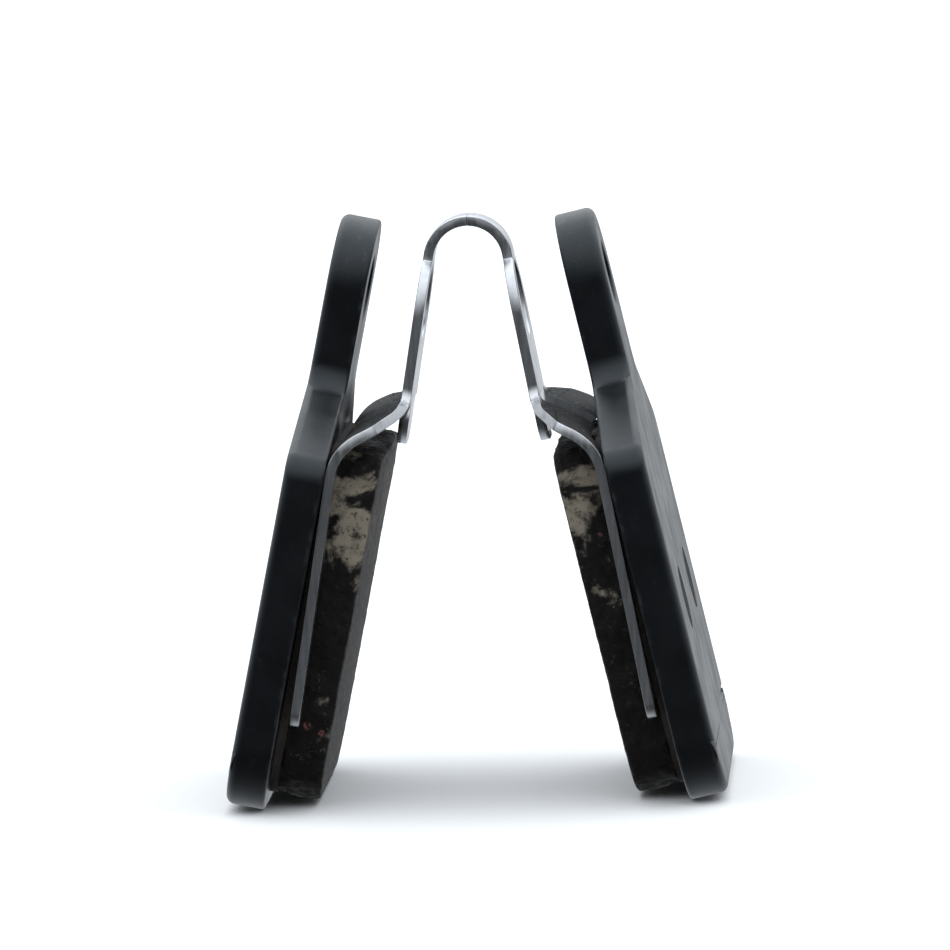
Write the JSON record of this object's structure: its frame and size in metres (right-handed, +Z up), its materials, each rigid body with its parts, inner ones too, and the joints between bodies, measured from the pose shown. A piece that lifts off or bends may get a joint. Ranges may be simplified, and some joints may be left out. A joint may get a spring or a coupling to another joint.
{
  "type": "disc brake pad set with return spring",
  "caption": "Bicycle disc brake pads with top tabs, joined by a bent sheet-steel return spring that holds them apart in an A shape.",
  "frame": {"origin": "centre of the set on the plane through the two inner bottom edges of the backing plates, on which the set stands", "axes": "+X from the left pad to the right pad, along the rotor axle; +Y across the width of the pads, towards the grooved edges; +Z up to the tabs"},
  "size_m": [0.0252, 0.022, 0.0292],
  "materials": {
    "spring": "bright rolled stainless sheet, bare edges",
    "plate": "black semi-gloss coating on steel, scuffed to grey at the edges",
    "bond": "matt underlayer pressed between block and plate",
    "friction": "coarse pressed compound with fibres and copper flecks"
  },
  "bodies": {
    "spring": {"spring_bow": "spring"},
    "left_pad": {"left_spring_side": "spring", "left_backing_plate": "plate", "left_bond_layer": "bond", "left_friction_block": "friction"},
    "right_pad": {"right_spring_side": "spring", "right_backing_plate": "plate", "right_bond_layer": "bond", "right_friction_block": "friction"}
  },
  "joints": [
    {"name": "right_flex", "type": "hinge", "parent": "spring", "child": "right_pad", "pos_m": [0, 0, 0.02675], "axis": [0, 1, 0], "range_deg": [0, 12.3], "stiffness_Nm_per_rad": 0.15},
    {"name": "left_flex", "type": "hinge", "parent": "spring", "child": "left_pad", "pos_m": [0, 0, 0.02675], "axis": [0, -1, 0], "range_deg": [0, 12.3], "stiffness_Nm_per_rad": 0.15}
  ],
  "couplings": [
    {"joint": "left_flex", "follows": "right_flex", "ratio": 1}
  ]
}
